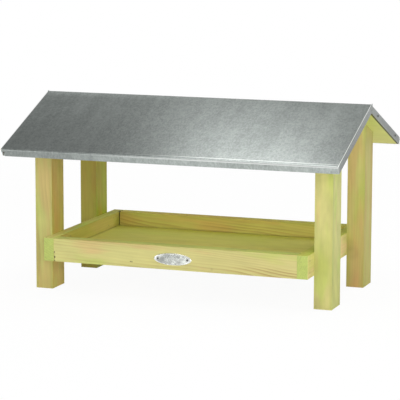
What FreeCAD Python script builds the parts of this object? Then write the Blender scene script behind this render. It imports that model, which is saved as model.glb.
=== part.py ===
"""Bird table: a nailed wooden tray between four posts, under a gabled roof of folded galvanised sheet.

Millimetres. +X runs along the ridge to the right, +Y to the rear and +Z up.
The origin is on the ground, under the middle of the roof.
"""
import FreeCAD
import Part
import math
import os

# Posts: flat battens with the narrow face to the front
POST_WIDTH = 28.0
POST_DEPTH = 45.0
POSTS_OVERALL_X = 485.0
POSTS_OVERALL_Y = 223.0

# Tray: it fits between the left and right posts and stands out in front and behind
TRAY_DEPTH = 288.0
TRAY_UNDERSIDE = 51.0
TRAY_BOARD_HEIGHT = 36.0
SIDE_BOARD_THICKNESS = 17.0
LONG_BOARD_THICKNESS = 21.0
BACK_BOARD_GAP = 1.6
FRONT_JOINT_GAP = 0.9
FRONT_JOINT_RISE = 19.0

# Tray floor: a panel held in grooves
FLOOR_THICKNESS = 6.0
FLOOR_RISE = 7.0
GROOVE_DEPTH = 6.0
GROOVE_SIDE_CLEARANCE = 0.5
GROOVE_TOP_CLEARANCE = 0.2

# Roof: the outer faces of the sheet
GABLE_OVERHANG = 27.5
ROOF_DEPTH = 360.0
RIDGE_HEIGHT = 300.0
EAVE_HEIGHT = 228.0
SHEET_THICKNESS = 0.7
FLANGE_DEPTH = 12.0
GABLE_BEND_RADIUS = 1.5
EAVE_BEND_RADIUS = 3.0
LAP_LENGTH = 2.8
LAP_CLEARANCE = 0.05
EAVE_FLANGE_END_GAP = 0.6
EAVE_SNIP_LENGTH = 5.0
EAVE_SNIP_HEIGHT = 7.5
ROOF_BOARD_THICKNESS = 11.0
ROOF_BOARD_CLEARANCE = 0.3

# Badge: an oval plate with a raised rim on the front board
BADGE_WIDTH = 61.0
BADGE_HEIGHT = 18.5
BADGE_THICKNESS = 0.8
BADGE_RIM_WIDTH = 1.1
BADGE_RIM_HEIGHT = 0.4
BADGE_NAIL_SPACING = 48.0
BADGE_CENTRE_HEIGHT = 67.5

# Fasteners: shank diameter, shank length, head diameter and head thickness
BADGE_NAIL = (1.4, 12.0, 3.2, 0.9)
SHEET_NAIL = (1.6, 18.0, 3.4, 0.8)
ROOF_NAIL = (2.2, 42.0, 5.0, 1.0)
BRAD = (1.6, 39.0, 2.8, 0.6)

# Fastener places
SHEET_NAILS_DOWN_SLOPE = (45.0, 162.0)
ROOF_NAIL_SPACING = 18.0
CORNER_BRAD_MARGIN = 9.0
POST_BRAD_SPACING_Y = 22.0
POST_BRAD_HEIGHTS_ABOVE_FLOOR = (7.0, 16.0)

# Sizes that follow
ROOF_LENGTH = POSTS_OVERALL_X + 2 * GABLE_OVERHANG
ROOF_HALF_DEPTH = ROOF_DEPTH / 2
PITCH = math.atan2(RIDGE_HEIGHT - EAVE_HEIGHT, ROOF_HALF_DEPTH)
SLOPE_LENGTH = ROOF_HALF_DEPTH / math.cos(PITCH)
ROOF_HALF_LENGTH = ROOF_LENGTH / 2
REAR_HALF_LENGTH = ROOF_HALF_LENGTH - SHEET_THICKNESS - LAP_CLEARANCE
BOARD_UNDERSIDE_DEPTH = SHEET_THICKNESS + ROOF_BOARD_THICKNESS
ROOF_BOARD_HALF_LENGTH = REAR_HALF_LENGTH - SHEET_THICKNESS - ROOF_BOARD_CLEARANCE
ROOF_BOARD_WIDTH = SLOPE_LENGTH - SHEET_THICKNESS - ROOF_BOARD_CLEARANCE
POST_CENTRE_X = (POSTS_OVERALL_X - POST_WIDTH) / 2
POST_CENTRE_Y = (POSTS_OVERALL_Y - POST_DEPTH) / 2
TRAY_HALF_LENGTH = POSTS_OVERALL_X / 2 - POST_WIDTH
TRAY_HALF_DEPTH = TRAY_DEPTH / 2
TRAY_TOP = TRAY_UNDERSIDE + TRAY_BOARD_HEIGHT
INNER_HALF_LENGTH = TRAY_HALF_LENGTH - SIDE_BOARD_THICKNESS
INNER_HALF_DEPTH = TRAY_HALF_DEPTH - LONG_BOARD_THICKNESS
FLOOR_UNDERSIDE = TRAY_UNDERSIDE + FLOOR_RISE
FLOOR_TOP = FLOOR_UNDERSIDE + FLOOR_THICKNESS

LEFT, RIGHT = -1, 1
FRONT, REAR = -1, 1
EXTRA = 1.0

X_AXIS = FreeCAD.Vector(1, 0, 0)
Y_AXIS = FreeCAD.Vector(0, 1, 0)


def box(low, high):
    """A box between two opposite corners, given in any order."""
    corner = [min(a, b) for a, b in zip(low, high)]
    size = [abs(b - a) for a, b in zip(low, high)]
    return Part.makeBox(size[0], size[1], size[2], FreeCAD.Vector(*corner))


def prism_along_x(outline, x_from, x_to):
    """A prism from an outline of (y, z) points."""
    points = [FreeCAD.Vector(x_from, y, z) for y, z in outline]
    face = Part.Face(Part.makePolygon(points + points[:1]))
    return face.extrude(X_AXIS * (x_to - x_from))


def prism_along_y(outline, y_from, y_to):
    """A prism from an outline of (x, z) points."""
    points = [FreeCAD.Vector(x, y_from, z) for x, z in outline]
    face = Part.Face(Part.makePolygon(points + points[:1]))
    return face.extrude(Y_AXIS * (y_to - y_from))


def on_slope(side, down, depth):
    """The (y, z) of a point, by its way down a slope and its depth under the sheet's outer face."""
    across = down * math.cos(PITCH) - depth * math.sin(PITCH)
    height = RIDGE_HEIGHT - down * math.sin(PITCH) - depth * math.cos(PITCH)
    return side * across, height


def slope_vector(side, down, depth):
    """The direction of a move down a slope and into it."""
    y, z = on_slope(side, down, depth)
    return FreeCAD.Vector(0, y, z - RIDGE_HEIGHT)


def half_chevron(side, depth_from, depth_to, width, x_half):
    """The part of a slope between two depths, from the middle plane to its lower edge."""
    outline = [
        (0, RIDGE_HEIGHT - depth_from / math.cos(PITCH)),
        on_slope(side, width, depth_from),
        on_slope(side, width, depth_to),
        (0, RIDGE_HEIGHT - depth_to / math.cos(PITCH)),
    ]
    return prism_along_x(outline, -x_half, x_half)


def fastener(kind, seat, direction):
    """A nail: its head's underside is at the seat and its shank runs along the direction."""
    shank_diameter, shank_length, head_diameter, head_thickness = kind
    direction = FreeCAD.Vector(direction).normalize()
    tip_length = shank_diameter
    body_length = shank_length - tip_length
    shank = Part.makeCylinder(shank_diameter / 2, body_length, seat, direction)
    tip_base = seat + direction * body_length
    tip = Part.makeCone(shank_diameter / 2, shank_diameter / 8, tip_length, tip_base, direction)
    head = Part.makeCylinder(head_diameter / 2, head_thickness, seat - direction * head_thickness, direction)
    return shank.fuse([tip, head]).removeSplitter()


def domed_fastener(kind, seat, direction):
    """A nail whose head has a rounded edge and stands on the seat."""
    nail = fastener(kind, seat, direction)
    head_radius, head_thickness = kind[2] / 2, kind[3]
    top = seat - FreeCAD.Vector(direction).normalize() * head_thickness
    rims = [e for e in nail.Edges if is_circle(e, head_radius) and e.Curve.Center.isEqual(top, 1e-4)]
    return nail.makeFillet(0.6 * head_thickness, rims)


def is_circle(edge, radius):
    """Whether an edge is a circle of a radius."""
    return isinstance(edge.Curve, Part.Circle) and abs(edge.Curve.Radius - radius) < 1e-6


def cut_with(solid, fasteners):
    """A piece with the holes of the fasteners that pass through it."""
    near = [f for f in fasteners if f.BoundBox.intersect(solid.BoundBox)]
    return solid.cut(near) if near else solid


# Roof sheet

def edges_along(solid, start, direction):
    """The edges of a solid that lie on a straight line."""
    found = []
    for edge in solid.Edges:
        ends = [vertex.Point for vertex in edge.Vertexes]
        if len(ends) == 2 and all(end.distanceToLine(start, direction) < 1e-3 for end in ends):
            found.append(edge)
    return found


def round_folds(solid, side, x_half, down, depth):
    """A half roof with its eave edge and its two sloping gable edges rounded to the sheet's bends."""
    eave = FreeCAD.Vector(0, *on_slope(side, down, depth))
    solid = solid.makeFillet(EAVE_BEND_RADIUS - depth, edges_along(solid, eave, X_AXIS))
    gable_folds = []
    for end in (LEFT, RIGHT):
        start = FreeCAD.Vector(end * x_half, *on_slope(side, down / 2, depth))
        gable_folds += edges_along(solid, start, slope_vector(side, 1, 0))
    return solid.makeFillet(GABLE_BEND_RADIUS - depth, gable_folds)


def half_sheet(side, x_half):
    """One slope of the sheet, with its eave flange and the flanges at both gables."""
    outer = half_chevron(side, 0, FLANGE_DEPTH, SLOPE_LENGTH, x_half)
    inner_half = x_half - SHEET_THICKNESS
    inner_width = SLOPE_LENGTH - SHEET_THICKNESS
    inner = half_chevron(side, SHEET_THICKNESS, FLANGE_DEPTH + EXTRA, inner_width, inner_half)
    outer = round_folds(outer, side, x_half, SLOPE_LENGTH, 0)
    inner = round_folds(inner, side, inner_half, inner_width, SHEET_THICKNESS)
    return outer.cut(inner)


def eave_flange_snip(side, end, x_half):
    """The sloping snip that frees the eave flange's end from the gable flange."""
    inner_face = x_half - SHEET_THICKNESS
    top_depth = EAVE_BEND_RADIUS
    low_depth = FLANGE_DEPTH + EXTRA
    snip_depth = FLANGE_DEPTH - EAVE_SNIP_HEIGHT
    lower_gap = EAVE_FLANGE_END_GAP + EAVE_SNIP_LENGTH
    outline = [
        (inner_face, top_depth),
        (inner_face - EAVE_FLANGE_END_GAP, top_depth),
        (inner_face - EAVE_FLANGE_END_GAP, snip_depth),
        (inner_face - lower_gap, low_depth),
        (inner_face, low_depth),
    ]
    down_from = SLOPE_LENGTH - EAVE_BEND_RADIUS
    points = []
    for x, depth in outline:
        y, z = on_slope(side, down_from, depth)
        points.append(FreeCAD.Vector(end * x, y, z))
    face = Part.Face(Part.makePolygon(points + points[:1]))
    return face.extrude(slope_vector(side, EAVE_BEND_RADIUS + EXTRA, 0))


def gable_flange_snip(side, x_half):
    """The sloping cut on the left gable flange's lower end."""
    outline = [
        on_slope(side, SLOPE_LENGTH + EXTRA, EAVE_BEND_RADIUS),
        on_slope(side, SLOPE_LENGTH - EAVE_BEND_RADIUS, EAVE_BEND_RADIUS),
        on_slope(side, SLOPE_LENGTH - FLANGE_DEPTH, FLANGE_DEPTH + EXTRA),
        on_slope(side, SLOPE_LENGTH + EXTRA, FLANGE_DEPTH + EXTRA),
    ]
    return prism_along_x(outline, -x_half - EXTRA, -x_half + SHEET_THICKNESS)


def lap_tab(end):
    """The end of the front slope's gable flange, which laps over the rear slope's at the apex."""
    outline = [
        on_slope(FRONT, GABLE_BEND_RADIUS, 0),
        on_slope(FRONT, -LAP_LENGTH, 0),
        on_slope(FRONT, -LAP_LENGTH, FLANGE_DEPTH),
        on_slope(FRONT, GABLE_BEND_RADIUS, FLANGE_DEPTH),
    ]
    return prism_along_x(outline, end * (ROOF_HALF_LENGTH - SHEET_THICKNESS), end * ROOF_HALF_LENGTH)


def make_roof_sheet(nails):
    """The folded sheet: two slopes, their flanges and the laps at the apex."""
    front = half_sheet(FRONT, ROOF_HALF_LENGTH)
    rear = half_sheet(REAR, REAR_HALF_LENGTH)
    sheet = front.fuse([rear, lap_tab(LEFT), lap_tab(RIGHT)])
    snips = []
    for side, x_half in ((FRONT, ROOF_HALF_LENGTH), (REAR, REAR_HALF_LENGTH)):
        snips += [eave_flange_snip(side, end, x_half) for end in (LEFT, RIGHT)]
        snips.append(gable_flange_snip(side, x_half))
    return cut_with(sheet.cut(snips).removeSplitter(), nails)


# Roof boards and posts

def make_roof_board(side, fasteners):
    """A roof panel under one slope, cut plumb at the ridge, its other upper edges eased for the folds."""
    top, underside = SHEET_THICKNESS, BOARD_UNDERSIDE_DEPTH
    board = half_chevron(side, top, underside, ROOF_BOARD_WIDTH, ROOF_BOARD_HALF_LENGTH)
    board = round_folds(board, side, ROOF_BOARD_HALF_LENGTH, ROOF_BOARD_WIDTH, top)
    return cut_with(board, fasteners)


def make_post(side_x, side_y, fasteners):
    """A post whose top is cut to the underside of its roof panel."""
    x_low = side_x * POST_CENTRE_X - POST_WIDTH / 2
    y_inner = side_y * (POST_CENTRE_Y - POST_DEPTH / 2)
    y_outer = side_y * (POST_CENTRE_Y + POST_DEPTH / 2)

    def top_at(y):
        return RIDGE_HEIGHT - BOARD_UNDERSIDE_DEPTH / math.cos(PITCH) - abs(y) * math.tan(PITCH)

    outline = [(y_inner, 0), (y_outer, 0), (y_outer, top_at(y_outer)), (y_inner, top_at(y_inner))]
    return cut_with(prism_along_x(outline, x_low, x_low + POST_WIDTH), fasteners)


# Tray

def floor_groove():
    """The space that the four grooves leave round the floor panel's edge."""
    x_half = INNER_HALF_LENGTH + GROOVE_DEPTH
    y_half = INNER_HALF_DEPTH + GROOVE_DEPTH
    top = FLOOR_TOP + GROOVE_TOP_CLEARANCE
    return box((-x_half, -y_half, FLOOR_UNDERSIDE), (x_half, y_half, top))


def make_side_board(side, fasteners):
    """A tray side board, which runs the tray's whole depth."""
    inner, outer = side * INNER_HALF_LENGTH, side * TRAY_HALF_LENGTH
    low = (inner, -TRAY_HALF_DEPTH, TRAY_UNDERSIDE)
    high = (outer, TRAY_HALF_DEPTH, TRAY_TOP)
    return cut_with(box(low, high).cut(floor_groove()), fasteners)


def make_front_board(fasteners):
    """The front board, whose left end is a little out of square, so the joint opens downwards."""
    low = (-INNER_HALF_LENGTH, -TRAY_HALF_DEPTH, TRAY_UNDERSIDE)
    high = (INNER_HALF_LENGTH, -INNER_HALF_DEPTH, TRAY_TOP)
    opening = [
        (-INNER_HALF_LENGTH, TRAY_UNDERSIDE + FRONT_JOINT_RISE),
        (-INNER_HALF_LENGTH + FRONT_JOINT_GAP, TRAY_UNDERSIDE),
        (-INNER_HALF_LENGTH - EXTRA, TRAY_UNDERSIDE - EXTRA),
        (-INNER_HALF_LENGTH - EXTRA, TRAY_UNDERSIDE + FRONT_JOINT_RISE),
    ]
    wedge = prism_along_y(opening, -TRAY_HALF_DEPTH - EXTRA, -INNER_HALF_DEPTH + EXTRA)
    return cut_with(box(low, high).cut([floor_groove(), wedge]), fasteners)


def make_back_board(fasteners):
    """The back board, cut a little short, so a gap shows at its left end."""
    low = (-INNER_HALF_LENGTH + BACK_BOARD_GAP, INNER_HALF_DEPTH, TRAY_UNDERSIDE)
    high = (INNER_HALF_LENGTH, TRAY_HALF_DEPTH, TRAY_TOP)
    return cut_with(box(low, high).cut(floor_groove()), fasteners)


def make_floor():
    """The floor panel, a little smaller than its grooves."""
    x_half = INNER_HALF_LENGTH + GROOVE_DEPTH - GROOVE_SIDE_CLEARANCE
    y_half = INNER_HALF_DEPTH + GROOVE_DEPTH - GROOVE_SIDE_CLEARANCE
    return box((-x_half, -y_half, FLOOR_UNDERSIDE), (x_half, y_half, FLOOR_TOP))


# Badge

def oval(width, height, thickness, y_back):
    """An upright oval plate that stands forward from a plane."""
    centre = FreeCAD.Vector(0, y_back, BADGE_CENTRE_HEIGHT)
    side_point = centre + X_AXIS * (width / 2)
    top_point = centre + FreeCAD.Vector(0, 0, height / 2)
    edge = Part.Ellipse(side_point, top_point, centre).toShape()
    return Part.Face(Part.Wire(edge)).extrude(Y_AXIS * -thickness)


def make_badge_plate(nails):
    """The oval plate with its raised rim."""
    back = -TRAY_HALF_DEPTH
    inner_width = BADGE_WIDTH - 2 * BADGE_RIM_WIDTH
    inner_height = BADGE_HEIGHT - 2 * BADGE_RIM_WIDTH
    blank = oval(BADGE_WIDTH, BADGE_HEIGHT, BADGE_THICKNESS + BADGE_RIM_HEIGHT, back)
    field = oval(inner_width, inner_height, BADGE_RIM_HEIGHT + EXTRA, back - BADGE_THICKNESS)
    return cut_with(blank.cut(field), nails)


# Fasteners, each as a list of separate nails

def make_badge_nails():
    """Two nails through the badge into the front board."""
    y = -TRAY_HALF_DEPTH - BADGE_THICKNESS
    nails = []
    for side in (LEFT, RIGHT):
        seat = FreeCAD.Vector(side * BADGE_NAIL_SPACING / 2, y, BADGE_CENTRE_HEIGHT)
        nails.append(domed_fastener(BADGE_NAIL, seat, Y_AXIS))
    return nails


def make_sheet_nails():
    """Two nails at each end, through the rear slope's gable flange into the end of the roof panel."""
    nails = []
    for end in (LEFT, RIGHT):
        for down in SHEET_NAILS_DOWN_SLOPE:
            y, z = on_slope(REAR, down, BOARD_UNDERSIDE_DEPTH / 2)
            seat = FreeCAD.Vector(end * REAR_HALF_LENGTH, y, z)
            nails.append(domed_fastener(SHEET_NAIL, seat, X_AXIS * -end))
    return nails


def make_roof_nails():
    """Two nails through a roof panel into the top of each post, with their heads under the sheet."""
    shank_length, head_thickness = ROOF_NAIL[1], ROOF_NAIL[3]
    lean = shank_length / 2 * math.sin(PITCH)
    nails = []
    for side_x in (LEFT, RIGHT):
        for side_y in (FRONT, REAR):
            for step in (-0.5, 0.5):
                down = (POST_CENTRE_Y + lean + step * ROOF_NAIL_SPACING) / math.cos(PITCH)
                y, z = on_slope(side_y, down, SHEET_THICKNESS + head_thickness)
                seat = FreeCAD.Vector(side_x * POST_CENTRE_X, y, z)
                nails.append(fastener(ROOF_NAIL, seat, slope_vector(side_y, 0, 1)))
    return nails


def make_corner_brads():
    """Two brads at each tray corner, through the side board into the end of a long board."""
    head_thickness = BRAD[3]
    y_middle = TRAY_HALF_DEPTH - LONG_BOARD_THICKNESS / 2
    heights = (TRAY_UNDERSIDE + CORNER_BRAD_MARGIN, TRAY_TOP - CORNER_BRAD_MARGIN)
    brads = []
    for end in (LEFT, RIGHT):
        for side in (FRONT, REAR):
            for z in heights:
                seat = FreeCAD.Vector(end * (TRAY_HALF_LENGTH - head_thickness), side * y_middle, z)
                brads.append(fastener(BRAD, seat, X_AXIS * -end))
    return brads


def make_post_brads():
    """Two brads at each post, from inside the tray through the side board."""
    head_thickness = BRAD[3]
    brads = []
    for end in (LEFT, RIGHT):
        for side in (FRONT, REAR):
            for step, rise in zip((-0.5, 0.5), POST_BRAD_HEIGHTS_ABOVE_FLOOR):
                x = end * (INNER_HALF_LENGTH + head_thickness)
                y = side * POST_CENTRE_Y + step * POST_BRAD_SPACING_Y
                seat = FreeCAD.Vector(x, y, FLOOR_TOP + rise)
                brads.append(fastener(BRAD, seat, X_AXIS * end))
    return brads


def make_parts():
    """Every node of the bird table, by name."""
    badge_nails = make_badge_nails()
    sheet_nails = make_sheet_nails()
    roof_nails = make_roof_nails()
    corner_brads = make_corner_brads()
    post_brads = make_post_brads()
    parts = {
        "roof_sheet": make_roof_sheet(sheet_nails),
        "roof_board_front": make_roof_board(FRONT, roof_nails),
        "roof_board_rear": make_roof_board(REAR, roof_nails + sheet_nails),
        "tray_front_board": make_front_board(corner_brads + badge_nails),
        "tray_back_board": make_back_board(corner_brads),
        "tray_left_board": make_side_board(LEFT, corner_brads + post_brads),
        "tray_right_board": make_side_board(RIGHT, corner_brads + post_brads),
        "tray_floor": make_floor(),
        "badge_plate": make_badge_plate(badge_nails),
        "badge_nails": Part.makeCompound(badge_nails),
        "roof_sheet_nails": Part.makeCompound(sheet_nails),
        "roof_board_nails": Part.makeCompound(roof_nails),
        "tray_corner_brads": Part.makeCompound(corner_brads),
        "tray_post_brads": Part.makeCompound(post_brads),
    }
    for side_y, row in ((FRONT, "front"), (REAR, "rear")):
        for side_x, hand in ((LEFT, "left"), (RIGHT, "right")):
            parts[f"post_{row}_{hand}"] = make_post(side_x, side_y, roof_nails + post_brads)
    return parts


os.makedirs("parts", exist_ok=True)
for name, shape in make_parts().items():
    shape.exportStep(f"parts/{name}.step")
    print(name, "solids", len(shape.Solids), "valid", shape.isValid(), "volume", round(shape.Volume, 1))
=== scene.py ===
"""Looks for the bird table: treated pine, a galvanised sheet roof, a pressed oval badge and a pale studio.

Metres. +X runs along the ridge to the right, +Y to the rear and +Z up, as in the CAD frame.
"""
import math
import bmesh
import bpy
from mathutils import Matrix, Vector


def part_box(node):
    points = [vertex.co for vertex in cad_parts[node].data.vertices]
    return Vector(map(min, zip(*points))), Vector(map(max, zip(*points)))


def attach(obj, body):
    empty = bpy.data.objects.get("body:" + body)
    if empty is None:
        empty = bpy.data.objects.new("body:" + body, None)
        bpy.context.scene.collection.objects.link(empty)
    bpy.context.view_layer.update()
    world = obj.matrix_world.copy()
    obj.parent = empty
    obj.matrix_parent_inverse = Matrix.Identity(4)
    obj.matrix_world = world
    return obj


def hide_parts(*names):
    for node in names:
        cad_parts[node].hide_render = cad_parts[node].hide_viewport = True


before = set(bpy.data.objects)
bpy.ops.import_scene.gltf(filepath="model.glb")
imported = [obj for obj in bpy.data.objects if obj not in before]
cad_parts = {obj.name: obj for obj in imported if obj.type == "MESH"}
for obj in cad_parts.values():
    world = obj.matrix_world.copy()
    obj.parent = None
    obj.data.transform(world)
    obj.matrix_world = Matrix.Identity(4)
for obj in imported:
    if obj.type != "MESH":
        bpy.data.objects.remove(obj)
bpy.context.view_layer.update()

MM = 0.001

# Camera, fitted to the photograph's edges
CAMERA_PLACE = Vector((1.056, -2.9253, 0.6428))
CAMERA_TURN = math.radians(19.994)
CAMERA_DIP = math.radians(9.238)
CAMERA_ROLL = math.radians(0.129)
CAMERA_LENS_MM = 179.28
SENSOR_MM = 36.0

# Studio
WORLD_STRENGTH = 0.3
FLOOR_SIZE = 40.0
FLOOR_COLOUR = (0.9, 0.9, 0.9)
FLOOR_ROUGHNESS = 0.9
FLOOR_GLOSS = 0.1
FLOOR_WHITE_NEAR = 0.95
FLOOR_WHITE_REACH = (0.5, 2.2)
LIGHT_TARGET = (0.0, 0.0, 0.15)
LIGHTS = {
    "key_light": {"place": (1.75, -2.5, 0.95), "size": (1.8, 1.2), "power": 24.0},
    "low_light": {"place": (1.3, -2.9, 0.35), "size": (1.8, 0.6), "power": 8.0},
    "side_light": {"place": (3.0, -0.8, 1.0), "size": (1.4, 1.2), "power": 5.0},
    "left_light": {"place": (-1.8, -2.4, 0.9), "size": (1.6, 1.2), "power": 12.0},
    "top_light": {"place": (0.3, -0.6, 3.2), "size": (2.8, 2.8), "power": 60.0},
    "rear_right_light": {"place": (2.1, 2.0, 1.85), "size": (2.0, 1.3), "power": 24.0},
    "front_high_light": {"place": (0.9, -2.6, 1.6), "size": (1.6, 1.0), "power": 6.0},
    "roof_card": {
        "place": (-0.206, 0.385, 1.2), "size": (0.30, 0.12), "power": 1.43, "target": (-0.206, 0.085, 0.0),
    },
}

# Faces that marks and painted shade in the wood refer to
TRAY_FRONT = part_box("tray_front_board")[0][1]
TRAY_WALLS = (-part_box("tray_left_board")[1][0], -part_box("tray_front_board")[1][1])
FLOOR_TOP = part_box("tray_floor")[1][2]
REAR_POST_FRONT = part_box("post_rear_right")[0][1]

# Dark marks, and painted shade in a gap: place, radius and strength
FRONT_BOARD_NICKS = [
    ((-0.1966, TRAY_FRONT, 0.0657), 1.2 * MM, 1.0),
    ((-0.1964, TRAY_FRONT, 0.0579), 1.8 * MM, 1.0),
    ((-0.1966, TRAY_FRONT, 0.0521), 1.2 * MM, 1.0),
    ((-0.0692, TRAY_FRONT, 0.0594), 1.1 * MM, 0.8),
    ((-0.0668, TRAY_FRONT, 0.0592), 1.1 * MM, 0.8),
    ((0.0632, TRAY_FRONT, 0.0562), 2.4 * MM, 0.14),
]
LEFT_CORNER_HEIGHTS = (0.066, 0.071, 0.076, 0.081, 0.086)
# Painted shade in the gap between the left board and the back board
LEFT_CORNER_SHADE = [((-TRAY_WALLS[0], 0.1285, z), 4.8 * MM, 1.0) for z in LEFT_CORNER_HEIGHTS]
# A broad, faint darker patch low on the rear right post's front face
REAR_POST_DARK_PATCH = [
    ((0.2180, REAR_POST_FRONT, 0.067), 12.0 * MM, 0.13),
    ((0.2235, REAR_POST_FRONT, 0.055), 12.0 * MM, 0.13),
]
ZINC_MARKS = [
    ((0.2700, 0.1607, 0.2245), 1.7 * MM, 0.8),
    ((-0.2650, -0.1778, 0.2224), 1.7 * MM, 0.8),
]

# How each board and post was cut: grain axis, pith line, stain, and painted light and shade that make each
# face lighter or darker, partly also each piece's own tone.
# A list of two values runs from the piece's low end to its high end.
PINE_PIECES = {
    "post_front_left": {
        "axis": "Z", "pith": (-0.255, -0.04), "lean": (0.07, 0.0), "seed": 1.3,
        "pink": 0.75, "green": 0.35, "rings": 0.6,
        "painted_face_shading": {
            "-Y": [(0.86, 0.92, 0.73), (0.88, 0.90, 0.85)],
            "+X": [(1.20, 1.18, 0.80), (0.76, 0.59, 0.40)],
        },
    },
    "post_front_right": {
        "axis": "Z", "pith": (0.20, -0.02), "seed": 4.1,
        "pink": 0.30, "green": 0.42, "rings": 0.08, "streaks": 0.1, "clouds": 2.6,
        "painted_face_shading": {
            "-Y": [(0.86, 0.85, 0.84), (1.08, 1.10, 1.07)],
            "+X": [(0.79, 0.86, 0.67), (0.98, 1.00, 1.10)],
        },
    },
    "post_rear_left": {
        "axis": "Z", "pith": (-0.2, 0.13), "lean": (0.0, 0.05), "seed": 7.7,
        "pink": 0.60, "green": 0.70, "rings": 0.5,
        "painted_face_shading": {
            "-Y": [(0.61, 0.53, 0.26), (0.61, 0.59, 0.26)],
            "+X": [(0.62, 0.67, 0.14), (0.75, 0.82, 0.17)],
        },
    },
    "post_rear_right": {
        "axis": "Z", "pith": (0.27, 0.03), "seed": 2.9,
        "pink": 0.70, "green": 0.45, "rings": 0.35, "streaks": 0.35, "nicks_and_shade": REAR_POST_DARK_PATCH,
        "painted_face_shading": {
            "-Y": [(0.82, 0.69, 0.60), (1.03, 1.08, 1.04)],
            "+X": [(0.70, 0.71, 0.46), (0.79, 0.78, 0.68)],
        },
    },
    "tray_front_board": {
        "axis": "X", "pith": (-0.10, 0.02), "lean": (0.0, 0.05), "seed": 5.2,
        "pink": 0.38, "green": 0.32, "rings": 0.9, "arris": 0.15, "nicks_and_shade": FRONT_BOARD_NICKS,
        "figured": ((0.155, TRAY_FRONT, 0.055), (0.09, 0.03, 0.013)), "inner": "+Y",
        "painted_face_shading": {
            "-Y": [(0.97, 0.99, 0.97), (0.97, 0.94, 0.99)],
            "+Z": (1.06, 1.22, 1.02),
        },
    },
    "tray_back_board": {
        "axis": "X", "pith": (0.17, 0.03), "lean": (0.0, 0.07), "seed": 9.4,
        "pink": 0.65, "green": 0.35, "rings": 1.3, "inner": "-Y",
        "painted_face_shading": {
            "-Y": [(0.99, 0.99, 0.63), (1.30, 1.25, 0.95)],
            "+Z": (1.18, 1.18, 0.72),
        },
    },
    "tray_left_board": {
        "axis": "Y", "pith": (-0.19, 0.1), "seed": 3.6,
        "pink": 0.4, "green": 0.6, "rings": 0.4, "nicks_and_shade": LEFT_CORNER_SHADE, "inner": "+X",
        "painted_face_shading": {
            "+X": [(1.20, 0.98, 0.86), (0.84, 0.80, 0.50)],
            "+Z": [(1.28, 1.38, 1.30), (1.00, 1.04, 0.82)],
        },
    },
    "tray_right_board": {
        "axis": "Y", "pith": (0.24, 0.05), "seed": 6.8,
        "pink": 0.35, "green": 0.6, "rings": 0.4, "inner": "-X",
        "painted_face_shading": {
            "+X": (1.25, 1.10, 1.32),
            "+Z": (1.15, 1.2, 0.80),
        },
    },
}
# Each panel's painted light per face, and painted shade at one end or along the tray's walls
PANEL_PIECES = {
    "roof_board_front": {"seed": 1.1, "painted_face_shading": {}, "shaded_end": "-X"},
    "roof_board_rear": {"seed": 2.4, "painted_face_shading": {"-Z": (1.14, 1.21, 1.25)}, "shaded_end": "+X"},
    "tray_floor": {"seed": 3.9, "painted_face_shading": {"+Z": (1.33, 1.30, 1.46)}, "walls": TRAY_WALLS},
}

# Wood: the scale of each noise across and along the grain, and how a piece's seed moves the noise
PINE_NOISES = {
    "fading": {"scale": (50.0, 50.0, 6.0)},
    "fibre": {"scale": (1400.0, 1400.0, 30.0), "detail": 3.0},
    "streak": {"scale": (260.0, 260.0, 7.0), "detail": 3.0},
    "blush": {"scale": (42.0, 42.0, 8.0), "detail": 2.5},
    "stain": {"scale": (34.0, 34.0, 9.0), "detail": 2.5, "offset": (3.1, 1.7, 5.3)},
    "cloud": {"scale": (70.0, 70.0, 30.0)},
    "pore": {"scale": (700.0, 700.0, 700.0)},
    "soak": {"scale": (170.0, 170.0, 170.0)},
}
PANEL_NOISES = {
    "figure": {"scale": (20.0, 20.0, 3.0)},
    "fibre": {"scale": (1300.0, 1300.0, 40.0), "detail": 3.0},
    "cloud": {"scale": (60.0, 60.0, 24.0), "detail": 3.0},
    "stain": {"scale": (9.0, 9.0, 5.0), "detail": 3.0},
}
PINE_SHIFTS = (1.7, 2.3, 0.9)
PANEL_SHIFTS = (1.3, 0.7, 2.1)

# Growth rings
RING_WIDTH = 3.5 * MM
RING_PROFILE = [(0.0, 0.0), (0.45, 0.15), (0.82, 0.8), (0.92, 1.0), (1.0, 0.1)]
RING_WANDER_SCALE = (16.0, 16.0, 4.0)
RING_WANDER = (0.02, 0.02, 0.0)
RING_FADING = (0.35, 0.65, 0.1, 1.0)
RING_STRENGTH = 0.5
FIGURE_EDGES = (0.5, 1.0)
FIGURE_BOOST = 2.2

# The wood's colour and surface. A tone of two values spreads the middle of a noise over them. Where there
# are four values, the first two are spread over the last two. Depths are below and above a tone of 1.
FEW_PATCHES = (0.70, 0.86)
MANY_PATCHES = (0.30, 0.50)
BLUSH_STRENGTH = 0.85
ARRIS_EDGES = (0.55, 1.0)
ARRIS_CLOUDS = (0.35, 0.65, 0.4, 1.0)
STREAK_DEPTHS = (0.12, 0.10)
CLOUD_DEPTHS = (0.04, 0.035)
PINE_FIBRE_TONE = (0.965, 1.03)
END_TURN = (0.6, 0.85)
END_PORE_TONE = (0.35, 0.7, 1.06, 0.90)
END_RING_TONE = (0.0, 1.0, 1.04, 0.86)
END_SOAK_TONE = (0.94, 1.06)
PINE_ROUGHNESS = (0.66, 0.52)
PINE_RELIEF = {"late": 0.5, "fibre": 0.6}
PINE_BUMP = (0.12 * MM, 0.6)
PINE_GLOSS = 0.35
PANEL_BANDS = 60.0
PANEL_BAND_TONE = (-1.0, 1.0, 0.985, 1.012)
PANEL_FIBRE_TONE = (0.96, 1.03)
PANEL_CLOUD_TONE = (0.955, 1.04)
PANEL_STAIN = (0.35, 0.65)
PANEL_ROUGHNESS = (0.68, 0.56)
PANEL_BUMP = (0.08 * MM, 0.5)
PANEL_GLOSS = 0.3

# Rounded edges of the wood
PINE_ROUNDING = 0.7 * MM
PANEL_ROUNDING = 0.5 * MM
WOOD_EDGE_STEPS = 3
SHARP_ANGLE = math.radians(35)
WELD_REACH = 0.005 * MM
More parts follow.
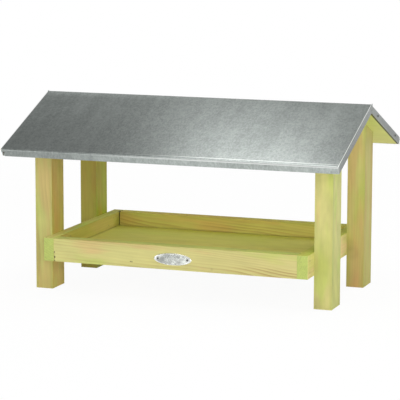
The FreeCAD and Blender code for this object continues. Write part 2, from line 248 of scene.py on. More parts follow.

# Painted shade in the tray's corners, as reach and strength, and painted shade at one end of a roof panel
BOARD_FLOOR_SHADE = (2.4 * MM, 0.34)
FLOOR_WALL_SHADE = (6.0 * MM, 0.22)
PANEL_SHADE_EDGES = (4.0 * MM, 2.4 * MM)
PANEL_SHADE_TONE = 0.15

# Masks: the middle of a noise, its mean colour, how squarely a face points along an axis, and a mark's soft
# edge as shares of its radius
NOISE_MIDDLE = (0.3, 0.7)
NOISE_MEAN = (0.5, 0.5, 0.5)
FACE_TURN = (0.5, 0.8)
MARK_EDGE = (0.4, 1.3)

# Galvanised sheet: its noises, their weights in the mottling, and where light is painted on it: paler
# towards the ridge, and painted highlights on the folds and on a crease
ZINC_NOISES = {
    "speckle": {"scale": (400.0, 215.0, 215.0), "detail": 3.0, "roughness": 0.65},
    "blotch": {"scale": (110.0, 70.0, 70.0)},
    "bands": {"scale": (38.0, 4.0, 4.0), "detail": 3.0, "roughness": 0.55},
    "stripes": {"scale": (120.0, 9.0, 9.0)},
    "bloom": {"scale": (13.0, 13.0, 13.0), "detail": 4.0, "roughness": 0.6},
    "rolled": {"scale": (14.0, 420.0, 420.0)},
    "wave": {"scale": (5.0, 7.0, 7.0), "detail": 1.0},
}
ZINC_SPANGLE_SCALE = 240.0
ZINC_WEIGHTS = {
    "speckle": 0.95,
    "blotch": 0.3,
    "spangle": 0.1,
    "bands": 0.3,
    "stripes": 0.2,
    "bloom": 0.35,
    "rolled": 0.05,
}
ZINC_MOTTLE_RANGE = (0.94, 1.34)
# Painted light and shade per face: darker gable flanges, and an eave flange that gets lighter towards the
# right
ZINC_FACE_SHADING = {
    "+X": (0.535, 0.535, 0.53),
    "-X": (0.535, 0.535, 0.53),
    "-Y": [(1.03, 1.03, 1.03), (1.5, 1.5, 1.5)],
}
ZINC_FACE_SHADING_RUN = (-0.2, 0.0)
# Painted light: the sheet paler towards the ridge's ends and along the ridge bend
ZINC_PALE_HEIGHTS = (0.24, 0.30)
ZINC_PALE_LEFT = (-0.26, 0.0)
ZINC_PALE_RIGHT = (0.16, 0.26)
ZINC_PALE = 0.34
ZINC_BEND_REACH = 16.0 * MM
ZINC_BEND_RUN = (-0.27, 0.05)
ZINC_BEND_PALE = 0.7
# Painted highlights along a crease above each eave and on the eave fold
ZINC_CREASE_PLACE = 174.0 * MM
ZINC_CREASE_EDGES = (0.4 * MM, 1.0 * MM)
ZINC_CREASE_RUN = (-0.08, 0.03)
ZINC_CREASE_HIGHLIGHT = 0.55
ZINC_EAVE_RUN = (-0.13, 0.07)
ZINC_EAVE_HIGHLIGHT = 0.9
ZINC_GABLE_FOLD = ((0.03, 0.10), (0.6, 0.75))
ZINC_EAVE_FOLD = ((-0.30, -0.15), (0.45, 0.65))
ZINC_OFF_GABLE = (0.3, 0.5)
ZINC_METALLIC = 0.92
ZINC_ROUGHNESS = (0.31, 0.285)
ZINC_RELIEF = {"speckle": 0.6, "rolled": 0.4}
ZINC_BUMP = (0.03 * MM, 0.12)
ZINC_WAVE_BUMP = (1.0 * MM, 0.06)

# Tabs at the right gable: (x, depth under the sheet) round a tab, and its outer and inner face
RIDGE_HEIGHT = 300.0 * MM
EAVE_HEIGHT = 228.0 * MM
ROOF_HALF_DEPTH = 180.0 * MM
ROOF_PITCH = math.atan2(RIDGE_HEIGHT - EAVE_HEIGHT, ROOF_HALF_DEPTH)
TAB_OUTLINE = [
    (269.25 * MM, 3.3 * MM),
    (268.85 * MM, 3.3 * MM),
    (268.85 * MM, 4.6 * MM),
    (264.1 * MM, 11.8 * MM),
    (269.25 * MM, 11.8 * MM),
]
TAB_FACES = (0.05 * MM, 0.6 * MM)
TAB_ROUNDING = 0.12 * MM
TAB_EDGE_STEPS = 2

# Pressed badge: height against distance from the centre, as a share of the way to the edge
BADGE_PROFILE = [(0.0, 1.35 * MM), (0.80, 0.70 * MM), (0.86, 0.55 * MM), (0.92, 0.95 * MM), (1.0, 0.45 * MM)]
BADGE_RINGS = 50
BADGE_SEGMENTS = 128
BADGE_HAMMER_SCALE = 620.0
BADGE_HAMMER_BUMP = (0.14 * MM, 0.6)
BADGE_RIM_EDGE = (0.85, 0.90)
BADGE_NOISES = {
    "rub": {"scale": (210.0, 210.0, 210.0), "detail": 3.0},
    "grit": {"scale": (1500.0, 1500.0, 1500.0)},
}
BADGE_FILM = {"rub": 0.7, "grit": 0.3}
BADGE_FILM_TONE = (0.40, 0.60, 0.66, 1.2)
BADGE_SIDE_LIGHT = (-0.5, 0.5, 0.86, 1.14)
BADGE_RIM_FILM = (0.40, 0.55, 0.7, 1.0)
BADGE_ROUGHNESS = (0.35, 0.65, 0.30, 0.16)

# Nails
NAIL_NOISES = {"bloom": {"scale": (900.0, 900.0, 900.0), "detail": 3.0}}
NAIL_TONE = (0.7, 1.1)
NAIL_ROUGHNESS = (0.55, 0.35)
NAIL_METALLIC = 0.9
WEATHERED_METALLIC = 0.6
STAINED_METALLIC = 0.2

# Colours, as the surfaces look in plain light, except the fold and rim colours, which are painted
# highlights; the dirt colour also paints shade
PINE_STRAW = (210, 203, 132)
PINE_GREEN = (198, 204, 114)
PINE_PINK = (214, 186, 128)
PINE_LATE = (170, 138, 78)
PINE_ARRIS = (182, 192, 96)
PINE_END = (181, 193, 103)
# Dark colour of nicks and marks, also used to paint shade in the tray's corners and gap
DIRT_AND_SHADE = (62, 48, 22)
PANEL_OLIVE = (206, 199, 116)
PANEL_GREEN = (194, 197, 106)
ZINC_DARK = (132, 138, 135)
ZINC_LIGHT = (160, 166, 163)
ZINC_FOLD_HIGHLIGHT = (242, 245, 242)
BADGE_SILVER = (213, 217, 211)
BADGE_RIM_HIGHLIGHT = (246, 248, 243)
NAIL_GREY = (110, 108, 104)
NAIL_WEATHERED = (84, 80, 72)
BRAD_STAIN = (188, 180, 104)


def linear(colour):
    """A colour of 0 to 255 display values as linear red, green, blue and alpha."""
    channels = [c / 255 for c in colour]
    values = [c / 12.92 if c <= 0.04045 else ((c + 0.055) / 1.055) ** 2.4 for c in channels]
    return (*values, 1.0)


# Node helpers

class Nodes:
    """A material's node tree, with short calls for the nodes that the finishes share."""

    def __init__(self, name):
        self.material = bpy.data.materials.new(name)
        self.material.use_nodes = True
        self.tree = self.material.node_tree
        self.tree.nodes.clear()
        self.output = self.tree.nodes.new("ShaderNodeOutputMaterial")
        self.shader = self.tree.nodes.new("ShaderNodeBsdfPrincipled")
        self.link(self.shader.outputs["BSDF"], self.output.inputs["Surface"])

    def add(self, kind, **settings):
        node = self.tree.nodes.new(kind)
        for key, value in settings.items():
            setattr(node, key, value)
        return node

    def link(self, source, target):
        self.tree.links.new(source, target)

    def feed(self, socket, value):
        """Sets a socket from a number, a tuple or another socket."""
        if isinstance(value, bpy.types.NodeSocket):
            self.link(value, socket)
        else:
            socket.default_value = value

    def maths(self, operation, first, second=0.0, clamp=False):
        node = self.add("ShaderNodeMath", operation=operation, use_clamp=clamp)
        self.feed(node.inputs[0], first)
        self.feed(node.inputs[1], second)
        return node.outputs[0]

    def product(self, first, *others):
        for other in others:
            first = self.maths("MULTIPLY", first, other)
        return first

    def vector(self, operation, first, second=(0.0, 0.0, 0.0)):
        node = self.add("ShaderNodeVectorMath", operation=operation)
        self.feed(node.inputs[0], first)
        self.feed(node.inputs[1], second)
        name = "Value" if operation in ("LENGTH", "DOT_PRODUCT") else "Vector"
        return node.outputs[name]

    def range(self, value, from_low, from_high, to_low=0.0, to_high=1.0, smooth=False):
        node = self.add("ShaderNodeMapRange", interpolation_type="SMOOTHSTEP" if smooth else "LINEAR")
        for key, number in zip(("Value", "From Min", "From Max", "To Min", "To Max"),
                               (value, from_low, from_high, to_low, to_high)):
            self.feed(node.inputs[key], number)
        return node.outputs["Result"]

    def tone(self, noise, low, high):
        """Spreads the middle of a noise over two values."""
        return self.range(noise, *NOISE_MIDDLE, low, high)

    def swing(self, noise, depths, amount):
        """A tone that goes below and above 1 by two depths, times an amount."""
        below, above = depths
        return self.tone(noise, 1.0 - below * amount, 1.0 + above * amount)

    def between(self, value, rise, fall):
        """1 between a rise and a fall, which are each given by where they start and end."""
        return self.product(self.range(value, *rise), self.range(value, *fall, 1.0, 0.0))

    def weighted(self, values, weights):
        """The sum of named values, each times its weight."""
        total = 0.0
        for name, weight in weights.items():
            total = self.maths("ADD", total, self.product(values[name], weight))
        return total

    def noise(self, place, scale, detail=2.0, roughness=0.5, offset=None):
        """Noise that is moved by an offset and stretched by a scale: its brightness and its colour."""
        if offset:
            place = self.vector("ADD", place, offset)
        node = self.add("ShaderNodeTexNoise")
        self.feed(node.inputs["Vector"], self.vector("MULTIPLY", place, scale))
        self.feed(node.inputs["Scale"], 1.0)
        self.feed(node.inputs["Detail"], detail)
        self.feed(node.inputs["Roughness"], roughness)
        return node.outputs["Fac"], node.outputs["Color"]

    def noises(self, place, table):
        """The brightness of each noise in a table, by name."""
        return {name: self.noise(place, **settings)[0] for name, settings in table.items()}

    def cells(self, place, scale):
        node = self.add("ShaderNodeTexVoronoi")
        self.feed(node.inputs["Vector"], place)
        self.feed(node.inputs["Scale"], scale)
        return node.outputs["Distance"], node.outputs["Color"]

    def ramp(self, value, stops):
        node = self.add("ShaderNodeValToRGB")
        self.feed(node.inputs["Fac"], value)
        elements = node.color_ramp.elements
        while len(elements) < len(stops):
            elements.new(0.5)
        for element, (position, brightness) in zip(elements, stops):
            element.position = position
            element.color = (brightness, brightness, brightness, 1.0)
        return node.outputs["Color"]

    def mix(self, factor, first, second, blend="MIX"):
        node = self.add("ShaderNodeMix", data_type="RGBA", blend_type=blend)
        sockets = [s for s in node.inputs if s.type == "RGBA"]
        self.feed(node.inputs["Factor"], factor)
        self.feed(sockets[0], first)
        self.feed(sockets[1], second)
        return next(s for s in node.outputs if s.type == "RGBA")

    def toned(self, colour, tone):
        """A colour made lighter or darker by a number."""
        return self.mix(1.0, colour, self.join(tone, tone, tone), "MULTIPLY")

    def split(self, vector):
        node = self.add("ShaderNodeSeparateXYZ")
        self.feed(node.inputs[0], vector)
        return node.outputs[0], node.outputs[1], node.outputs[2]

    def join(self, x, y, z):
        node = self.add("ShaderNodeCombineXYZ")
        for socket, value in zip(node.inputs, (x, y, z)):
            self.feed(socket, value)
        return node.outputs[0]

    def bump(self, height, distance, strength, normal=None):
        node = self.add("ShaderNodeBump")
        self.feed(node.inputs["Height"], height)
        self.feed(node.inputs["Distance"], distance)
        self.feed(node.inputs["Strength"], strength)
        if normal is not None:
            self.link(normal, node.inputs["Normal"])
        return node.outputs["Normal"]

    def coordinates(self):
        node = self.add("ShaderNodeTexCoord")
        return node.outputs["Object"], node.outputs["Normal"]

    def finish(self, **values):
        """Feeds the shader's sockets, named in lower case with underscores, and returns the material."""
        for name, value in values.items():
            socket = next(s for s in self.shader.inputs if s.name.lower().replace(" ", "_") == name)
            self.feed(socket, value)
        return self.material


def along_grain(nodes, vector, axis):
    """Turns a vector so that its last part runs along the grain."""
    x, y, z = nodes.split(vector)
    order = {"X": (y, z, x), "Y": (x, z, y), "Z": (x, y, z)}[axis]
    return nodes.join(*order)


def face_mask(nodes, normal, face):
    """1 on the faces that point along an axis, given as a sign and a letter, and 0 elsewhere."""
    direction = [0.0, 0.0, 0.0]
    direction["XYZ".index(face[1])] = 1.0 if face[0] == "+" else -1.0
    return nodes.range(nodes.vector("DOT_PRODUCT", normal, tuple(direction)), *FACE_TURN, smooth=True)


def paint_face_shading(nodes, normal, colour, painted_face_shading, along=0.0):
    """Paints light and shade per face: multiplies a colour by each face's factor; a list of two factors runs
    from the low to the high end.
    """
    for face, face_factor in painted_face_shading.items():
        if isinstance(face_factor, list):
            shade = nodes.mix(along, (*face_factor[0], 1.0), (*face_factor[1], 1.0))
        else:
            shade = (*face_factor, 1.0)
        shaded_colour = nodes.mix(1.0, colour, shade, "MULTIPLY")
        colour = nodes.mix(face_mask(nodes, normal, face), colour, shaded_colour)
    return colour


def marked(nodes, place, colour, marks):
    """Adds dark soft spots to a colour: each mark has a place, a radius and a strength."""
    mask = 0.0
    for centre, radius, strength in marks:
        gap = nodes.vector("LENGTH", nodes.vector("SUBTRACT", place, centre))
        core, rim = (radius * share for share in MARK_EDGE)
        spot = nodes.range(gap, core, rim, strength, 0.0, smooth=True)
        mask = nodes.maths("ADD", mask, spot, clamp=True)
    return nodes.mix(mask, colour, linear(DIRT_AND_SHADE))


# Wood

def arris_mask(nodes, straight, node, axis):
    """1 along a board's long edges, fading to 0 over its faces."""
    low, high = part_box(node)
    across = {"X": (1, 2), "Y": (0, 2), "Z": (0, 1)}[axis]
    parts = []
    for part, side in zip(nodes.split(straight), across):
        middle = (low[side] + high[side]) / 2
        reach = (high[side] - low[side]) / 2
        away = nodes.maths("ABSOLUTE", nodes.maths("SUBTRACT", part, middle))
        parts.append(nodes.maths("DIVIDE", away, reach))
    return nodes.range(nodes.maths("MINIMUM", *parts), *ARRIS_EDGES, smooth=True)


def share_of(nodes, noise, amount):
    """Turns noise into patches that cover more of the surface as the amount goes from 0 to 1."""
    edges = [few + (many - few) * amount for few, many in zip(FEW_PATCHES, MANY_PATCHES)]
    return nodes.range(noise, *edges, smooth=True)


def late_wood(nodes, grain, moved, fading, pith):
    """The growth rings about a pith line: 0 between them, and up to 1 in their late wood."""
    wander = nodes.noise(moved, RING_WANDER_SCALE)[1]
    wander = nodes.vector("MULTIPLY", nodes.vector("SUBTRACT", wander, NOISE_MEAN), RING_WANDER)
    from_pith = nodes.vector("ADD", nodes.vector("SUBTRACT", grain, (*pith, 0.0)), wander)
    radius = nodes.vector("LENGTH", nodes.vector("MULTIPLY", from_pith, (1.0, 1.0, 0.0)))
    turns = nodes.maths("FRACT", nodes.maths("DIVIDE", radius, RING_WIDTH))
    return nodes.product(nodes.ramp(turns, RING_PROFILE), nodes.range(fading, *RING_FADING))


def figure_strength(nodes, place, figured):
    """1, and more near the middle of a patch, given by its middle and its reach along each axis."""
    if not figured:
        return 1.0
    middle, reach = figured
    away = nodes.vector("DIVIDE", nodes.vector("SUBTRACT", place, middle), reach)
    return nodes.range(nodes.vector("LENGTH", away), *FIGURE_EDGES, FIGURE_BOOST, 1.0, smooth=True)


def stained_colour(nodes, noise, green, pink):
    """Straw-coloured wood with patches of green and pink."""
    colour = nodes.mix(share_of(nodes, noise["stain"], green), linear(PINE_STRAW), linear(PINE_GREEN))
    blushing = nodes.product(share_of(nodes, noise["blush"], pink), BLUSH_STRENGTH)
    return nodes.mix(blushing, colour, linear(PINE_PINK))


def face_tone(nodes, noise, streaks, clouds):
    """How light the long faces are: streaks, fibre and soft clouds."""
    streak_tone = nodes.swing(noise["streak"], STREAK_DEPTHS, streaks)
    fibre_tone = nodes.tone(noise["fibre"], *PINE_FIBRE_TONE)
    cloud_tone = nodes.swing(noise["cloud"], CLOUD_DEPTHS, clouds)
    return nodes.product(streak_tone, fibre_tone, cloud_tone)


def end_grain(nodes, noise):
    """The end grain's colour: pores, rings and soaked patches."""
    pore_tone = nodes.range(noise["pore"], *END_PORE_TONE)
    ring_tone = nodes.range(noise["late"], *END_RING_TONE)
    soak_tone = nodes.tone(noise["soak"], *END_SOAK_TONE)
    return nodes.toned(linear(PINE_END), nodes.product(pore_tone, ring_tone, soak_tone))


def painted_shade_mask(nodes, away, reach, amount):
    """The strength of painted shade in a corner, fading to 0 at the reach."""
    return nodes.range(away, 0.0, reach, amount, 0.0)


def make_pine(node, axis, pith, seed, pink, green, rings, painted_face_shading, lean=(0.0, 0.0), streaks=0.5, clouds=1.0,
              arris=0.4, nicks_and_shade=(), figured=None, inner=None):
    """Planed and treated pine: growth rings about a pith line, fibre, stain drift, end grain and nicks, with
    painted shade in a gap and along the floor, and painted light and shade from face to face.
    """
    nodes = Nodes(f"{node}_pine")
    place, normal = nodes.coordinates()
    straight = along_grain(nodes, place, axis)
    run = nodes.split(straight)[2]
    leaning = nodes.join(nodes.product(run, lean[0]), nodes.product(run, lean[1]), 0.0)
    grain = nodes.vector("ADD", straight, leaning)
    moved = nodes.vector("ADD", grain, [seed * shift for shift in PINE_SHIFTS])
    noise = nodes.noises(moved, PINE_NOISES)
    noise["late"] = late_wood(nodes, grain, moved, noise["fading"], pith)

    colour = stained_colour(nodes, noise, green, pink)
    ringed = nodes.product(noise["late"], figure_strength(nodes, place, figured), RING_STRENGTH * rings)
    colour = nodes.mix(ringed, colour, linear(PINE_LATE))
    clouded = nodes.range(noise["cloud"], *ARRIS_CLOUDS)
    on_arris = nodes.product(arris_mask(nodes, straight, node, axis), arris, clouded)
    colour = nodes.mix(on_arris, colour, linear(PINE_ARRIS))
    colour = nodes.toned(colour, face_tone(nodes, noise, streaks, clouds))

    to_end = nodes.maths("ABSOLUTE", nodes.split(along_grain(nodes, normal, axis))[2])
    on_end = nodes.range(to_end, *END_TURN, smooth=True)
    colour = nodes.mix(on_end, colour, end_grain(nodes, noise))
    colour = marked(nodes, place, colour, nicks_and_shade)
    # Painted shade on the inner face, along the floor
    if inner:
        above_floor = nodes.maths("ABSOLUTE", nodes.maths("SUBTRACT", nodes.split(place)[2], FLOOR_TOP))
        floor_shade = nodes.product(painted_shade_mask(nodes, above_floor, *BOARD_FLOOR_SHADE), face_mask(nodes, normal, inner))
        colour = nodes.mix(floor_shade, colour, linear(DIRT_AND_SHADE))
    ends = [corner["XYZ".index(axis)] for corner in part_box(node)]
    # Painted light and shade that differs from face to face, partly also the piece's own tone
    colour = paint_face_shading(nodes, normal, colour, painted_face_shading, nodes.range(run, *ends))

    roughness = nodes.tone(noise["streak"], *PINE_ROUGHNESS)
    raised = nodes.bump(nodes.weighted(noise, PINE_RELIEF), *PINE_BUMP)
    gloss = PINE_GLOSS
    return nodes.finish(base_color=colour, roughness=roughness, normal=raised, specular_ior_level=gloss)


def painted_wall_shade(nodes, place, walls):
    """Painted shade on the tray's floor, along the side boards and the long boards."""
    x, y, _ = nodes.split(place)
    to_sides = nodes.maths("SUBTRACT", walls[0], nodes.maths("ABSOLUTE", x))
    to_boards = nodes.maths("SUBTRACT", walls[1], nodes.maths("ABSOLUTE", y))
    return painted_shade_mask(nodes, nodes.maths("MINIMUM", to_sides, to_boards), *FLOOR_WALL_SHADE)


def end_shade(nodes, place, node, end):
    """How light a roof panel is: dark only where the sheet's flange meets one end."""
    out = nodes.product(nodes.split(place)[0], {"+X": 1.0, "-X": -1.0}[end])
    clean, dark = (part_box(node)[1][0] - reach for reach in PANEL_SHADE_EDGES)
    return nodes.range(out, clean, dark, 1.0, PANEL_SHADE_TONE, smooth=True)


def make_panel(node, seed, painted_face_shading, shaded_end=None, walls=None):
    """Plain treated panel: faint peeled figure, fine fibre, soft stain, painted light per face, and painted
    shade at walls or one end.
    """
    nodes = Nodes(f"{node}_panel")
    place, normal = nodes.coordinates()
    moved = nodes.vector("ADD", along_grain(nodes, place, "X"), [seed * shift for shift in PANEL_SHIFTS])
    noise = nodes.noises(moved, PANEL_NOISES)
    bands = nodes.maths("SINE", nodes.product(noise["figure"], PANEL_BANDS))
    band_tone = nodes.range(bands, *PANEL_BAND_TONE)
    fibre_tone = nodes.tone(noise["fibre"], *PANEL_FIBRE_TONE)
    cloud_tone = nodes.tone(noise["cloud"], *PANEL_CLOUD_TONE)
    stained = nodes.range(noise["stain"], *PANEL_STAIN)
    colour = nodes.mix(stained, linear(PANEL_OLIVE), linear(PANEL_GREEN))
    colour = nodes.toned(colour, nodes.product(band_tone, fibre_tone, cloud_tone))
    # Painted light per face
    colour = paint_face_shading(nodes, normal, colour, painted_face_shading)
    # Painted shade along the tray's walls
    if walls:
        colour = nodes.mix(painted_wall_shade(nodes, place, walls), colour, linear(DIRT_AND_SHADE))
    if shaded_end:
        colour = nodes.toned(colour, end_shade(nodes, place, node, shaded_end))
    roughness = nodes.tone(noise["fibre"], *PANEL_ROUGHNESS)
    raised = nodes.bump(noise["fibre"], *PANEL_BUMP)
    gloss = PANEL_GLOSS
    return nodes.finish(base_color=colour, roughness=roughness, normal=raised, specular_ior_level=gloss)


# Metal

def painted_ridge_light(nodes, place):
    """Painted light on the sheet: 1, and more towards the ridge's ends and along its bend, standing in for
    reflections.
    """
    x, y, z = nodes.split(place)
    near_left = nodes.range(x, *ZINC_PALE_LEFT, ZINC_PALE, 0.0, smooth=True)
    near_right = nodes.range(x, *ZINC_PALE_RIGHT, 0.0, ZINC_PALE, smooth=True)
    near_ridge = nodes.range(z, *ZINC_PALE_HEIGHTS, smooth=True)
    ridge_end_light = nodes.product(near_ridge, nodes.maths("ADD", near_left, near_right))
    # Painted highlight along the ridge bend, strongest towards the left
    in_bend = nodes.range(nodes.maths("ABSOLUTE", y), 0.0, ZINC_BEND_REACH, 1.0, 0.0)
    bend_light = nodes.product(in_bend, nodes.range(x, *ZINC_BEND_RUN, ZINC_BEND_PALE, 0.0, smooth=True))
    return nodes.maths("ADD", 1.0, nodes.maths("ADD", ridge_end_light, bend_light))


def fold_highlight_mask(nodes, normal, eave_highlight):
    """1 on the rounded gable folds and, as strongly as the eave highlight is given, the eave fold: where
    highlights are painted.
    """
    x, _, z = nodes.split(normal)
    to_side = nodes.maths("ABSOLUTE", x)
    gable = nodes.between(to_side, *ZINC_GABLE_FOLD)
    eave = nodes.between(z, *ZINC_EAVE_FOLD)
    off_gable = nodes.range(to_side, *ZINC_OFF_GABLE, 1.0, 0.0)
    return nodes.maths("MAXIMUM", gable, nodes.product(eave, off_gable, eave_highlight))


def painted_highlight_mask(nodes, place, normal):
    """1 where highlights are painted: on the sheet's folds and on a crease above each eave."""
    x, y, _ = nodes.split(place)
    to_crease = nodes.maths("SUBTRACT", nodes.maths("ABSOLUTE", y), ZINC_CREASE_PLACE)
    crease = nodes.range(nodes.maths("ABSOLUTE", to_crease), *ZINC_CREASE_EDGES, ZINC_CREASE_HIGHLIGHT, 0.0)
    crease = nodes.product(crease, nodes.range(x, *ZINC_CREASE_RUN))
    eave_highlight = nodes.range(x, *ZINC_EAVE_RUN, 0.0, ZINC_EAVE_HIGHLIGHT)
    return nodes.maths("MAXIMUM", fold_highlight_mask(nodes, normal, eave_highlight), crease)


def make_galvanised(name):
    """Galvanised sheet: fine dull mottling, soft bands down the slope, a bloom and a slight wave."""
    nodes = Nodes(name)
    place, normal = nodes.coordinates()
    noise = nodes.noises(place, ZINC_NOISES)
    noise["spangle"] = nodes.split(nodes.cells(place, ZINC_SPANGLE_SCALE)[1])[0]
    mottle = nodes.range(nodes.weighted(noise, ZINC_WEIGHTS), *ZINC_MOTTLE_RANGE)
    colour = nodes.mix(mottle, linear(ZINC_DARK), linear(ZINC_LIGHT))
    # Painted light and shade per face, then painted light towards the ridge
    along = nodes.range(nodes.split(place)[0], *ZINC_FACE_SHADING_RUN, smooth=True)
    colour = paint_face_shading(nodes, normal, colour, ZINC_FACE_SHADING, along)
    colour = nodes.toned(colour, painted_ridge_light(nodes, place))
    # Painted highlights on the folds and on a crease above each eave
    colour = nodes.mix(painted_highlight_mask(nodes, place, normal), colour, linear(ZINC_FOLD_HIGHLIGHT))
    colour = marked(nodes, place, colour, ZINC_MARKS)
    waved = nodes.bump(noise["wave"], *ZINC_WAVE_BUMP)
    raised = nodes.bump(nodes.weighted(noise, ZINC_RELIEF), *ZINC_BUMP, waved)
    roughness = nodes.tone(noise["bloom"], *ZINC_ROUGHNESS)
    return nodes.finish(base_color=colour, roughness=roughness, normal=raised, metallic=ZINC_METALLIC)


def make_badge_metal(name):
    """Bright pressed plate: a hammered field, rubbed patches and a dull film, with painted light brighter
    from left to right and a painted highlight on the rim.
    """
    nodes = Nodes(name)
    place, _ = nodes.coordinates()
    noise = nodes.noises(place, BADGE_NOISES)
    film = nodes.weighted(noise, BADGE_FILM)
    low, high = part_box("badge_plate")
    x, _, z = nodes.split(place)
    across = nodes.range(x, low[0], high[0], -1.0, 1.0)
    upward = nodes.range(z, low[2], high[2], -1.0, 1.0)
    radius = nodes.vector("LENGTH", nodes.join(across, upward, 0.0))
    # Painted light: the plate brighter from left to right
    painted_side_light = nodes.range(across, *BADGE_SIDE_LIGHT, smooth=True)
    tone = nodes.product(nodes.range(film, *BADGE_FILM_TONE), painted_side_light)
    colour = nodes.toned(linear(BADGE_SILVER), tone)
    # Painted highlight on the rim
    rim = nodes.product(nodes.range(radius, *BADGE_RIM_EDGE), nodes.range(film, *BADGE_RIM_FILM))
    colour = nodes.mix(rim, colour, linear(BADGE_RIM_HIGHLIGHT))
    roughness = nodes.range(film, *BADGE_ROUGHNESS)
    hammered = nodes.bump(nodes.cells(place, BADGE_HAMMER_SCALE)[0], *BADGE_HAMMER_BUMP)
    return nodes.finish(base_color=colour, roughness=roughness, normal=hammered, metallic=1.0)


def make_nail_metal(name, base, metallic):
    """A dull nail head, mottled by weather or by the wood stain over it."""
    nodes = Nodes(name)
    place, _ = nodes.coordinates()
    bloom = nodes.noises(place, NAIL_NOISES)["bloom"]
    colour = nodes.toned(linear(base), nodes.tone(bloom, *NAIL_TONE))
    roughness = nodes.tone(bloom, *NAIL_ROUGHNESS)
    return nodes.finish(base_color=colour, roughness=roughness, metallic=metallic)


# Dressing the CAD pieces

def dress(node, material):
    """Gives a CAD node its material."""
    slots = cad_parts[node].data.materials
    slots.clear()
    slots.append(material)


def round_edges(piece, width, steps):
    """Rounds a piece's sharp edges with a modifier."""
    bevel = piece.modifiers.new("round edges", "BEVEL")
    bevel.width = width
    bevel.segments = steps
    bevel.limit_method = "ANGLE"
    return bevel


def soften_edges(node, width):
    """Rounds a CAD node's sharp edges, nail holes included."""
    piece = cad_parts[node]
    weld = piece.modifiers.new("join corners", "WELD")
    weld.merge_threshold = WELD_REACH
    bevel = round_edges(piece, width, WOOD_EDGE_STEPS)
    bevel.angle_limit = SHARP_ANGLE
    bevel.loop_slide = False


def dress_wood():
    """Every board and post, each with its own cut through the log."""
    for node, settings in PINE_PIECES.items():
        dress(node, make_pine(node, **settings))
        soften_edges(node, PINE_ROUNDING)
    for node, settings in PANEL_PIECES.items():
        dress(node, make_panel(node, **settings))
        soften_edges(node, PANEL_ROUNDING)


def dress_metal():
    """The roof sheet and its tabs, the badge and the nails."""
    zinc = make_galvanised("zinc_spangle")
    dress("roof_sheet", zinc)
    add_corner_tab("front_corner_tab", -1.0, zinc)
    add_corner_tab("rear_corner_tab", 1.0, zinc)
    dress("badge_plate", make_badge_metal("badge_plate_metal"))
    add_pressed_badge()
    nail_metal = make_nail_metal("nail_steel", NAIL_GREY, NAIL_METALLIC)
    for node in ("badge_nails", "roof_board_nails"):
        dress(node, nail_metal)
    dress("roof_sheet_nails", make_nail_metal("weathered_nail", NAIL_WEATHERED, WEATHERED_METALLIC))
    brad_metal = make_nail_metal("stained_brad", BRAD_STAIN, STAINED_METALLIC)
    for node in ("tray_corner_brads", "tray_post_brads"):
        dress(node, brad_metal)


# Pieces of the scene's own

def add_piece(name, mesh, material):
    """Turns a closed mesh into a piece that rides with the object."""
    bmesh.ops.recalc_face_normals(mesh, faces=mesh.faces)
    data = bpy.data.meshes.new(name)
    mesh.to_mesh(data)
    mesh.free()
    data.materials.append(material)
    piece = bpy.data.objects.new(name, data)
    bpy.context.scene.collection.objects.link(piece)
    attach(piece, "root")
    return piece


def add_corner_tab(name, side, material):
    """A tab of the right gable's flange, folded into the gap at the end of an eave's flange."""
    mesh = bmesh.new()
    layers = []
    for inward in TAB_FACES:
        layer = []
        for x, depth in TAB_OUTLINE:
            y = ROOF_HALF_DEPTH - depth * math.sin(ROOF_PITCH) - inward * math.cos(ROOF_PITCH)
            z = EAVE_HEIGHT - depth * math.cos(ROOF_PITCH) + inward * math.sin(ROOF_PITCH)
            layer.append(mesh.verts.new((x, side * y, z)))
        layers.append(layer)
        mesh.faces.new(layer)
    outer, inner = layers
    for turn in range(len(outer)):
        mesh.faces.new((outer[turn - 1], outer[turn], inner[turn], inner[turn - 1]))
    round_edges(add_piece(name, mesh, material), TAB_ROUNDING, TAB_EDGE_STEPS)


def badge_height(radius):
    """How far the pressed plate stands off the board, from its centre at 0 to its edge at 1."""
    for (near, low), (far, high) in zip(BADGE_PROFILE, BADGE_PROFILE[1:]):
        if radius <= far:
            share = (radius - near) / (far - near)
            share = share * share * (3 - 2 * share)
            return low + (high - low) * share
    return BADGE_PROFILE[-1][1]


def badge_ring(mesh, low, high, radius, y):
    """The badge's points at a distance from its centre: one point in the middle, or an oval ring."""
    points = []
    for turn in range(BADGE_SEGMENTS if radius > 0 else 1):
        angle = 2 * math.pi * turn / BADGE_SEGMENTS
        x = (low[0] + high[0]) / 2 + (high[0] - low[0]) / 2 * radius * math.cos(angle)
        z = (low[2] + high[2]) / 2 + (high[2] - low[2]) / 2 * radius * math.sin(angle)
        points.append(mesh.verts.new((x, y, z)))
    return points


def add_pressed_badge():
    """The oval plate in place of its flat solid: a low dome inside a raised rim, with a rolled edge."""
    low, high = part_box("badge_plate")
    back = high[1]
    mesh = bmesh.new()
    radii = [step / BADGE_RINGS for step in range(BADGE_RINGS + 1)]
    rings = [badge_ring(mesh, low, high, radius, back - badge_height(radius)) for radius in radii]
    rings.append(badge_ring(mesh, low, high, 1.0, back))
    centre = rings[0][0]
    for turn in range(BADGE_SEGMENTS):
        mesh.faces.new((centre, rings[1][(turn + 1) % BADGE_SEGMENTS], rings[1][turn]))
    for inner, outer in zip(rings[1:], rings[2:]):
        for turn in range(BADGE_SEGMENTS):
            after = (turn + 1) % BADGE_SEGMENTS
            mesh.faces.new((inner[turn], inner[after], outer[after], outer[turn]))
    for face in mesh.faces:
        face.smooth = True
    mesh.faces.new(rings[-1])
    badge = add_piece("pressed_badge", mesh, make_badge_metal("pressed_badge_metal"))
    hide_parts("badge_plate")


# Studio

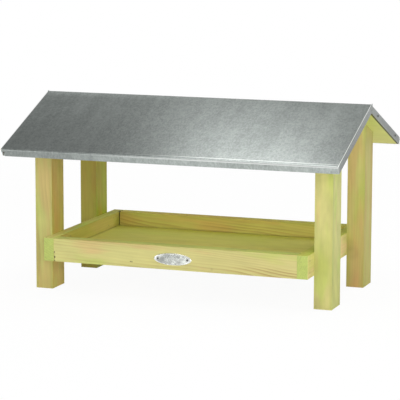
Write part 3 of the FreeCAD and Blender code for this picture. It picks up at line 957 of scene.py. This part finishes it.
def add_area_light(name, place, size, power, target=LIGHT_TARGET):
    """A rectangular softbox that faces a point."""
    lamp = bpy.data.lights.new(name, "AREA")
    lamp.shape = "RECTANGLE"
    lamp.size, lamp.size_y = size
    lamp.energy = power
    light = bpy.data.objects.new(name, lamp)
    bpy.context.scene.collection.objects.link(light)
    light.location = place
    direction = Vector(target) - light.location
    light.rotation_euler = direction.to_track_quat("-Z", "Y").to_euler()


def add_world():
    """Soft even studio light from all round."""
    world = bpy.data.worlds.new("studio")
    bpy.context.scene.world = world
    world.use_nodes = True
    light = world.node_tree.nodes["Background"]
    light.inputs["Color"].default_value = (1.0, 1.0, 1.0, 1.0)
    light.inputs["Strength"].default_value = WORLD_STRENGTH


def white_where_seen(nodes, lit_shader, share):
    """Mixes plain white into a shader, for what the camera, gloss and glass see of it."""
    paths = nodes.add("ShaderNodeLightPath").outputs
    seen = nodes.maths("MAXIMUM", paths["Is Camera Ray"], paths["Is Glossy Ray"])
    seen = nodes.maths("MAXIMUM", seen, paths["Is Transmission Ray"])
    white = nodes.add("ShaderNodeEmission")
    mixer = nodes.add("ShaderNodeMixShader")
    nodes.link(nodes.product(seen, share), mixer.inputs[0])
    nodes.link(lit_shader, mixer.inputs[1])
    nodes.link(white.outputs[0], mixer.inputs[2])
    return mixer.outputs[0]


def make_floor_paint():
    """White paint that shows the object's shadow near it and is plain white further away."""
    nodes = Nodes("studio_floor_paint")
    place, _ = nodes.coordinates()
    away = nodes.vector("LENGTH", place)
    share = nodes.range(away, *FLOOR_WHITE_REACH, FLOOR_WHITE_NEAR, 1.0, smooth=True)
    nodes.finish(base_color=(*FLOOR_COLOUR, 1.0), roughness=FLOOR_ROUGHNESS, specular_ior_level=FLOOR_GLOSS)
    shader = white_where_seen(nodes, nodes.shader.outputs["BSDF"], share)
    nodes.link(shader, nodes.output.inputs["Surface"])
    return nodes.material


def add_floor():
    """A pale floor that keeps the object's soft shadow."""
    half = FLOOR_SIZE / 2
    mesh = bpy.data.meshes.new("studio_floor")
    corners = [(-half, -half, 0), (half, -half, 0), (half, half, 0), (-half, half, 0)]
    mesh.from_pydata(corners, [], [(0, 1, 2, 3)])
    mesh.materials.append(make_floor_paint())
    floor = bpy.data.objects.new("studio_floor", mesh)
    bpy.context.scene.collection.objects.link(floor)


def add_camera():
    """The photograph's viewpoint."""
    data = bpy.data.cameras.new("camera")
    data.sensor_width = SENSOR_MM
    data.lens = CAMERA_LENS_MM
    camera = bpy.data.objects.new("camera", data)
    bpy.context.scene.collection.objects.link(camera)
    turn = Matrix.Rotation(CAMERA_TURN, 4, "Z")
    dip = Matrix.Rotation(math.pi / 2 - CAMERA_DIP, 4, "X")
    roll = Matrix.Rotation(CAMERA_ROLL, 4, "Z")
    camera.matrix_world = Matrix.Translation(CAMERA_PLACE) @ turn @ dip @ roll
    bpy.context.scene.camera = camera


add_camera()
add_world()
add_floor()
for light_name, settings in LIGHTS.items():
    add_area_light(light_name, **settings)
dress_wood()
dress_metal()
bpy.context.scene.view_settings.view_transform = "Standard"
